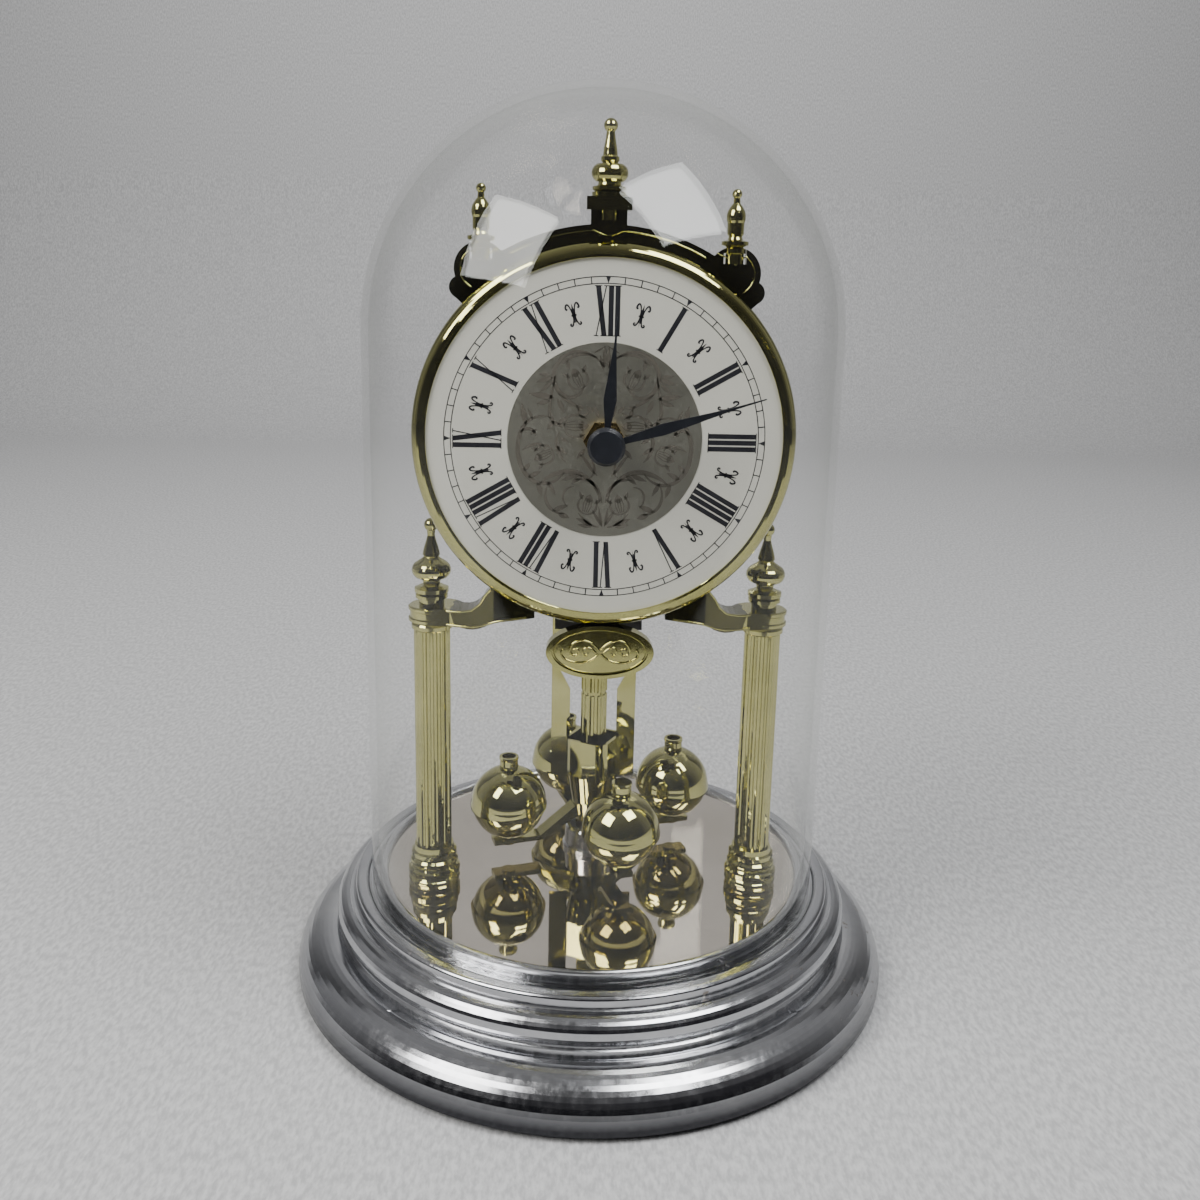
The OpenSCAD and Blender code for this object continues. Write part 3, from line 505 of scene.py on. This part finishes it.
# Right half of the scrolls: thickness, start, then Bezier bends.
VINES = (
    (0.8, (0.6, 17.2), ((3, 21.5), (9, 22.2), (11.6, 17.5)),
     ((13.2, 14.6), (11.8, 11.2), (9.2, 10.2)), ((7.2, 9.6), (5.2, 11.2), (5.0, 13.2))),
    (0.5, (2.2, 19.4), ((5.4, 20.8), (8.4, 20.0), (9.2, 18.2))),
    (0.7, (11.9, 15.0), ((12.5, 10), (14.2, 6.5), (12.0, 4.2)),
     ((10.6, 3.0), (9.5, 3.4), (9.2, 4.2))),
    (0.6, (11.2, 11.0), ((8.8, 8.4), (7.0, 9.2), (6.2, 7.0))),
    (0.8, (12.6, 5.2), ((16, 6.4), (19.2, 4.8), (20.2, 0.5)),
     ((21.0, -3.2), (20.0, -8.0), (16.4, -10.0)), ((13.4, -11.2), (10.8, -9.8), (9.4, -7.6))),
    (0.6, (19.9, 1.6), ((18.9, 3.2), (16.6, 2.8), (16.2, 1.0))),
    (0.5, (19.4, -2.5), ((17.5, -1.0), (14.5, -0.2), (14.0, -2.2))),
    (0.9, (0.9, -14.5), ((1.6, -9.8), (5.4, -7.0), (9.0, -7.4)),
     ((12.2, -7.9), (13.9, -9.2), (15.2, -10.4))),
    (0.6, (0.4, -14.9), ((0.9, -10.6), (3.4, -8.6), (6.8, -9.4))),
    (0.6, (1.6, -8.4), ((3.6, -6.8), (4.2, -4.4), (5.8, -3.4))),
    (0.5, (3.0, -4.6), ((2.0, -6.4), (2.2, -8.0), (3.2, -8.8))),
    (0.6, (13.4, -10.6), ((15.0, -14.4), (12.6, -17.8), (9.4, -17.6))),
    (0.4, (7.0, -11.0), ((9.6, -11.0), (10.6, -14.0), (8.6, -16.0))),
    (0.7, (10.9, 1.6), ((11.8, 0.2), (11.4, -3.4), (9.2, -5.0))),
    (0.4, (5.9, -17.4), ((4.6, -19.6), (2.6, -20.6), (1.0, -20.8))),
)
# Right half of the leaves: root, tip, width.
LEAVES = (
    ((12.4, 14.6), (16.4, 13.4), 1.2), ((12.6, 13.6), (15.4, 11.2), 1.0),
    ((13.0, 15.2), (15.8, 15.4), 0.8), ((12.0, 10.0), (18.0, 10.8), 1.5),
    ((13.0, 9.2), (16.2, 8.4), 1.1), ((11.2, 9.8), (9.6, 6.2), 1.2),
    ((6.4, 7.6), (5.6, 5.2), 0.9), ((7.0, 8.2), (4.8, 7.6), 0.9),
    ((18.6, 3.4), (19.6, 8.6), 1.5), ((17.0, 4.8), (18.2, 7.4), 0.8),
    ((12.0, 4.6), (13.6, 2.4), 1.2), ((11.2, 3.6), (9.2, 5.6), 1.0),
    ((10.6, 0.6), (8.4, -0.6), 0.9), ((11.4, -1.4), (8.8, -3.4), 1.0),
    ((17.4, 1.2), (16.0, 2.6), 0.9), ((19.0, -7.4), (17.4, -5.4), 1.1),
    ((18.0, -9.0), (14.8, -7.4), 1.2), ((15.8, -10.2), (14.6, -13.6), 1.2),
    ((13.4, -9.8), (11.4, -13.2), 1.1), ((12.2, -17.0), (8.2, -15.4), 1.3),
    ((10.8, -17.6), (8.0, -18.6), 1.4), ((3.0, 20.4), (0.0, 22.2), 0.4),
    ((0.6, 16.6), (1.6, 20.0), 0.9), ((0.4, 17.0), (0.5, 22.2), 0.9),
    ((2.8, 6.6), (4.6, 8.2), 1.0), ((1.6, 5.4), (2.6, 8.4), 0.9),
    ((5.2, -8.2), (7.8, -10.4), 1.2), ((6.2, -8.0), (10.2, -9.6), 1.1),
    ((0.3, -20.6), (2.8, -16.4), 0.8), ((0.3, -20.8), (1.2, -15.6), 0.7),
    ((2.4, -20.4), (6.6, -18.6), 1.2), ((2.8, -20.8), (6.2, -20.2), 0.9),
    ((4.6, -2.0), (6.6, -4.4), 1.1), ((9.2, 18.6), (8.6, 16.4), 1.0),
    ((8.8, 19.2), (10.6, 17.6), 0.9),
)
# Right half of the tulip heads: root, direction in degrees, size.
TULIPS = (((5.6, 12.2), 65, 4.6), ((9.6, 3.4), 180, 5.2), ((12.2, -2.6), -25, 4.4),
          ((4.4, -17.6), 105, 4.4))
# A tulip head of size 1, growing up from its root.
PETALS = (curve_line((0, 0), ((0.55, 0.02), (0.62, 0.55), (0.34, 1.0))),
          curve_line((0, 0), ((-0.55, 0.02), (-0.62, 0.55), (-0.36, 0.95))))
PETAL_THICK = 0.42
MIDDLE_PETAL = ((0, 0.62), (0.02, 1.12), 0.42)
SIDE_TIPS = (((0.34, 0.72), (0.62, 1.12), 0.18), ((-0.34, 0.68), (-0.66, 1.02), 0.18))
VEINS = (-0.22, -0.07, 0.08, 0.23)
VEIN_LINE = ((0.6, 0.1), (1.0, 0.5), (0.8, 0.85))
VEIN_THICK = 0.16


def leaf(ink, root, tip, fat):
    """A pointed leaf from root to tip, fat across near its middle, and its mirror image."""
    du, dv = tip[0] - root[0], tip[1] - root[1]
    size = math.hypot(du, dv)
    nu, nv = -dv / size * fat / 2, du / size * fat / 2

    def edge(side, step):
        t = step / LEAF_STEPS
        swell = side * math.sin(math.pi * t**LEAF_LEAN)
        return (root[0] + du * t + nu * swell, root[1] + dv * t + nv * swell)

    outline = [edge(1, i) for i in range(LEAF_STEPS + 1)]
    outline += [edge(-1, i) for i in range(LEAF_STEPS - 1, 0, -1)]
    for half in (outline, mirrored(outline)):
        ink.polygon(half)


def vine(ink, line, thick):
    """A stem along a line and its mirror image, thickest at the middle."""
    widths = swelling(len(line), VINE_TIP, VINE_FULL * thick - VINE_TIP)
    for side in (line, mirrored(line)):
        ink.stroke(side, widths)


def tulip(ink, root, angle, size):
    """A tulip head: two outer petals, a filled middle petal, fine veins and two side tips."""
    c, s = math.cos(math.radians(angle)), math.sin(math.radians(angle))

    def at(u, v):
        return (root[0] + size * (u * s + v * c), root[1] + size * (v * s - u * c))

    for petal in PETALS:
        vine(ink, [at(*p) for p in petal], PETAL_THICK)
    filled = [(at(*low), at(*high), size * fat) for low, high, fat in (MIDDLE_PETAL, *SIDE_TIPS)]
    leaf(ink, *filled[0])
    for u in VEINS:
        vine(ink, [at(u * wide, v) for wide, v in VEIN_LINE], VEIN_THICK)
    for tip in filled[1:]:
        leaf(ink, *tip)


def centre_ornament(ink):
    """Mirror-symmetric scrolls with leaves and tulip heads that fill the silver centre."""
    for thick, *points in VINES:
        vine(ink, curve_line(*points), thick)
    for shape in LEAVES:
        leaf(ink, *shape)
    for head in TULIPS:
        tulip(ink, *head)


black_ink = Print(DIAL_Y - PRINT_LIFT)
minute_track(black_ink)
numerals(black_ink)
for place in range(len(HOURS)):
    half_hour_ornament(black_ink, HOUR_DEGREES * (place + 0.5))
black_ink.made("dial_numerals_print", print_black, "hand_black")
grey_ink = Print(DISC_Y - PRINT_LIFT)
centre_ornament(grey_ink)
grey_ink.made("dial_centre_ornament_print", dial_dark, "dial_silver")


# ---------------------------------------------------------------- raised lines on the gilt parts
def raised_line(name, points, radius, cyclic=False):
    """A thin half-sunk bead along points given in metres; its radius is in millimetres."""
    curve = bpy.data.curves.new(name, "CURVE")
    curve.dimensions = "3D"
    curve.bevel_depth = radius * MM
    curve.bevel_resolution = 2
    spline = curve.splines.new("POLY")
    spline.points.add(len(points) - 1)
    for target, point in zip(spline.points, points):
        target.co = (*point, 1.0)
    spline.use_cyclic_u = cyclic
    line = bpy.data.objects.new(name, curve)
    bpy.context.scene.collection.objects.link(line)
    curve.materials.append(gilt)
    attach(line, "stand")


CREST_LINE_R = 0.17
CREST_ARCH = arc(48.0, 118, 62, 40)
CREST_CUSP = [(-3.4, 47.9), (-2.2, 47.4), (-1.0, 46.9), (0, 46.75),
              (1.0, 46.9), (2.2, 47.4), (3.4, 47.9)]
CUSP_HALF = 3.8          # the arch line stops this far from the middle
EAR_U, EAR_V = 29.4, 38.8
EAR_LOBE = arc(4.7, -62, 58, 20)
EAR_DIP = [(1.9, 3.6), (0.2, 2.0), (-1.8, 3.6), (-4.2, 4.6)]


def crest_lines():
    """Beads along the arch of the crest and round its two ears."""
    def on_crest(line):
        return [(DIAL_X + u * CREST_MM, crest_low.y, DIAL_Z + v * CREST_MM) for u, v in line]

    left = [p for p in CREST_ARCH if p[0] < -CUSP_HALF]
    right = [p for p in CREST_ARCH if p[0] > CUSP_HALF]
    raised_line("crest_arch_line", on_crest(left + CREST_CUSP + right), CREST_LINE_R)
    for side, tag in LEFT_RIGHT:
        ear = [(side * (EAR_U + u), EAR_V + v) for u, v in EAR_LOBE + EAR_DIP]
        raised_line(f"crest_ear_line_{tag}", on_crest(ear), CREST_LINE_R)


ARM_LINE_R = 0.32
ARM_FRONT_Y = -17.9      # where the lines end, at the collars
ARM_BEND_U = 26.0        # the arms sweep forward from here
ARM_SWEEP = 11.3         # over this length
ARM_LINES = {
    "upper": [(38.0, 3.9), (34.6, 4.1), (31.6, 5.0), (29.6, 6.8), (28.3, 9.2), (26.6, 11.4)],
    "under": [(38.0, 0.4), (34.5, 0.5), (31.4, 0.8), (28.6, 1.7), (26.0, 3.0), (23.5, 3.5),
              (18.0, 4.3)],
}


def arm_lines():
    """Bright raised edges along both arms of the yoke."""
    low = YOKE_Z / MM
    dial_back_y = crest_high.y / MM
    for side, hand in LEFT_RIGHT:
        for tag, line in ARM_LINES.items():
            points = []
            for u, v in line:
                swept = min(max((u - ARM_BEND_U) / ARM_SWEEP, 0.0), 1.0)
                y = dial_back_y + (ARM_FRONT_Y - dial_back_y) * swept
                points.append((side * u * MM, y * MM, (low + v) * MM))
            raised_line(f"arm_line_{tag}_{hand}", points, ARM_LINE_R)


PLAQUE_FACE = 0.65       # the oval face lies this far behind the front of the rim
PLAQUE_MID_V = 6.7       # height of the middle of the oval above the lower edge
SCROLL_R = 0.30
SCROLLS = {
    "a": curve_line((0.2, 0.4), ((2.5, 3.8), (6.5, 3.4), (7.2, 0.9)),
                    ((7.6, -0.8), (5.6, -1.6), (5.2, -0.2)), ((5.0, 0.7), (5.9, 1.1), (6.3, 0.4))),
    "b": curve_line((0.4, -0.6), ((2.0, -2.8), (5.4, -3.4), (8.2, -2.0)),
                    ((9.4, -1.3), (9.6, 0.0), (8.8, 0.6))),
    "c": curve_line((1.0, -0.2), ((2.4, 1.5), (4.1, 1.5), (4.0, -0.2)),
                    ((3.9, -1.2), (2.8, -1.1), (2.9, -0.3))),
}
OVAL_LINE_R = 0.14
OVAL_U, OVAL_V = 11.1, 5.45
OVAL_STEP = 5            # degrees between the points of the oval line


def plaque_ornament():
    """Raised scrolls on the oval plaque, in place of words."""
    y = plaque_low.y + PLAQUE_FACE * MM
    mid_x = (plaque_low.x + plaque_high.x) / 2
    mid_z = plaque_low.z + PLAQUE_MID_V * MM

    def at(line):
        return [(mid_x + u * MM, y, mid_z + v * MM) for u, v in line]

    for side, hand in LEFT_RIGHT:
        for part_tag, line in SCROLLS.items():
            raised_line(f"plaque_scroll_{hand}_{part_tag}", at([(side * u, v) for u, v in line]),
                        SCROLL_R)
    turns = (math.radians(a) for a in range(0, 360, OVAL_STEP))
    oval = [(OVAL_U * math.cos(a), OVAL_V * math.sin(a)) for a in turns]
    raised_line("plaque_inner_line", at(oval), OVAL_LINE_R, cyclic=True)


crest_lines()
arm_lines()
plaque_ornament()


# ---------------------------------------------------------------- pendulum balls
BALL_TOP_R = 10.3
BALL_TOP_ARC = (79, 4, 50)         # start and end in degrees, steps
BALL_RIM_R = 10.5
BALL_LOW_R = 10.0
BALL_LOW_ARC = (-20, -79, 40)
BALL_HOLE_R = 1.6
BALL_ORBIT = 24.2
BALL_TURN = 16.9         # degrees of the first ball from the x axis
BALL_COUNT = 4
BALL_AROUND = 96
LIP_V = 1.2              # the rim stands from the middle of the ball down to here
LIP_IN = 0.7             # then it steps in by this much
LIP_FOOT_V = 2.4         # and ends here, over the lower shell


def ball_outline():
    """Half section of a ball from its top hole to its bottom hole, in mm from its centre."""
    top = arc(BALL_TOP_R, *BALL_TOP_ARC)
    rim = [(BALL_RIM_R, 0.0), (BALL_RIM_R, -LIP_V), (BALL_RIM_R - LIP_IN, -LIP_V),
           (BALL_RIM_R - LIP_IN, -LIP_FOOT_V)]
    low = arc(BALL_LOW_R, *BALL_LOW_ARC)
    return [(BALL_HOLE_R, top[0][1])] + top + rim + low + [(BALL_HOLE_R, low[-1][1])]


def ball_shells():
    """The four hollow balls, turned finely so that they mirror the room cleanly."""
    low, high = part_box("ball_tops")
    axis_x, axis_y = (low.x + high.x) / 2, (low.y + high.y) / 2
    ball_z = low.z + LIP_V * MM
    outline = ball_outline()
    count = len(outline)
    points, faces = [], []
    for ball in range(BALL_COUNT):
        angle = math.radians(BALL_TURN + 360 / BALL_COUNT * ball)
        x = axis_x + BALL_ORBIT * MM * math.cos(angle)
        y = axis_y + BALL_ORBIT * MM * math.sin(angle)
        first = len(points)
        for i in range(BALL_AROUND):
            turn = 2 * math.pi * i / BALL_AROUND
            c, s = math.cos(turn), math.sin(turn)
            points += [(x + r * MM * c, y + r * MM * s, ball_z + z * MM) for r, z in outline]
            here, there = first + i * count, first + (i + 1) % BALL_AROUND * count
            faces += [(here + k, here + k + 1, there + k + 1, there + k)
                      for k in range(count - 1)]
    shells = mesh_piece("pendulum_ball_shells", points, faces, gilt, "pendulum")
    smooth(shells)
    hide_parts("ball_tops", "ball_bottoms")


ball_shells()

# ---------------------------------------------------------------- stage, light and camera
SWEEP_FRONT = (-1.6, -0.62, 0.0)   # y of the points of the floor
SWEEP_BACK = 0.95                  # y where the floor starts to bend up
SWEEP_BEND = 0.30
SWEEP_HIGH = 2.0
SWEEP_HALF = 2.2
SWEEP_SINK = 0.2 * MM              # the floor lies this far under the base
# Painted shade: in front, beyond the camera, the cloth colour is painted near-black for the dark
# room the clock mirrors.
DARK_Y, PALE_Y = -0.328, -0.314    # the cloth turns dark between these, beyond the camera
CLOCK_AIM = (0, 0, 0.12)           # both windows shine at the clock
# name, place, aim, size, power, colour
LIGHTS = (
    ("window_left", (-0.60, -0.42, 0.72), CLOCK_AIM, 0.52, 9.2, (1.0, 0.99, 0.97)),
    ("window_right", (0.36, -0.32, 0.88), CLOCK_AIM, 0.46, 7.8, (0.98, 0.99, 1.0)),
    ("backdrop_light", (0.0, 0.25, 1.15), (0, 1.25, 1.05), 0.9, 10.0, (1, 1, 1)),
)


def cloth_material():
    """Woven white cloth, pale round the clock; in front, where the clock mirrors the room, a
    painted shade turns its colour near-black.
    """
    made, tree, shader = new_material("pale_cloth")
    weave = object_noise(tree, 800, detail=2.0, roughness=0.6, stretch=(1.0, 0.4, 0.4))
    tint = ramp(tree, weave, [(0.36, (0.43, 0.43, 0.435)), (0.64, (0.60, 0.60, 0.60))])
    depth = object_axis(tree, "Object", "Y")
    # Painted shade: near-black cloth colour in front of the camera.
    shade = mixed(tree, spread(tree, depth, 0.0, 1.0, start=DARK_Y, stop=PALE_Y))
    shade.inputs["A"].default_value = (0.006, 0.006, 0.007, 1.0)
    tree.links.new(tint, shade.inputs["B"])
    tree.links.new(shade.outputs["Result"], shader.inputs["Base Color"])
    shader.inputs["Roughness"].default_value = 0.95
    tree.links.new(bump(tree, weave, 0.4, 0.4 * MM), shader.inputs["Normal"])
    return made


def floor_and_wall():
    """One pale sweep of cloth: floor, a round bend and a wall well behind the clock."""
    outline = [(y, 0.0) for y in SWEEP_FRONT]
    outline += [(SWEEP_BACK + y, SWEEP_BEND + z) for y, z in arc(SWEEP_BEND, -90, 0, 12)]
    outline.append((SWEEP_BACK + SWEEP_BEND, SWEEP_HIGH))
    points = [(x, y, z - SWEEP_SINK) for y, z in outline for x in (-SWEEP_HALF, SWEEP_HALF)]
    faces = [(2 * i, 2 * i + 1, 2 * i + 3, 2 * i + 2) for i in range(len(outline) - 1)]
    mesh = bpy.data.meshes.new("sweep")
    mesh.from_pydata(points, [], faces)
    sweep = bpy.data.objects.new("sweep", mesh)
    bpy.context.scene.collection.objects.link(sweep)
    sweep.data.materials.append(cloth_material())
    smooth(sweep)


def area_light(name, place, aim, size, power, colour):
    """A square light at place, turned to aim."""
    light = bpy.data.lights.new(name, "AREA")
    light.shape = "RECTANGLE"
    light.size = size
    light.size_y = size
    light.energy = power
    light.color = colour
    lamp = bpy.data.objects.new(name, light)
    bpy.context.scene.collection.objects.link(lamp)
    lamp.location = place
    lamp.rotation_euler = (Vector(aim) - Vector(place)).to_track_quat("-Z", "Y").to_euler()


def studio_world():
    """Dim room: dark in front, a little light overhead, pale to the sides and behind."""
    world = bpy.data.worlds.new("studio")
    bpy.context.scene.world = world
    world.use_nodes = True
    tree = world.node_tree
    background = tree.nodes["Background"]
    sky = ramp(tree, object_axis(tree, "Generated", "Z"),
               [(0.0, (0.02, 0.02, 0.024)), (0.3, (0.03, 0.03, 0.035)),
                (0.6, (0.09, 0.09, 0.095)), (1.0, (0.16, 0.16, 0.16))])
    depth = object_axis(tree, "Generated", "Y")
    behind = mixed(tree, spread(tree, depth, 0.0, 1.0, start=-0.45, stop=0.45))
    tree.links.new(sky, behind.inputs["A"])
    behind.inputs["B"].default_value = (0.36, 0.36, 0.365, 1.0)
    tree.links.new(behind.outputs["Result"], background.inputs["Color"])
    background.inputs["Strength"].default_value = 0.9


def photo_camera():
    """Camera at the photograph's angle: a little above the dial, left of centre, rolled."""
    pitch, yaw, roll = 0.2235, 0.0326, 0.0223
    place = Vector((-0.00943, -0.30124, DECK_Z + 0.1598))
    forward = Vector((math.sin(yaw) * math.cos(pitch), math.cos(yaw) * math.cos(pitch),
                      -math.sin(pitch)))
    side = Vector((math.cos(yaw), -math.sin(yaw), 0.0))
    up = side.cross(forward)
    right = side * math.cos(roll) + up * math.sin(roll)
    above = up * math.cos(roll) - side * math.sin(roll)
    turn = Matrix((right, above, -forward)).transposed().to_4x4()
    lens = bpy.data.cameras.new("photo_camera")
    lens.lens = 35.372
    lens.sensor_width = 36.0
    lens.shift_y = -0.05189
    lens.clip_start = 0.01
    camera = bpy.data.objects.new("photo_camera", lens)
    bpy.context.scene.collection.objects.link(camera)
    camera.matrix_world = Matrix.Translation(place) @ turn
    bpy.context.scene.camera = camera


floor_and_wall()
studio_world()
for settings in LIGHTS:
    area_light(*settings)
photo_camera()
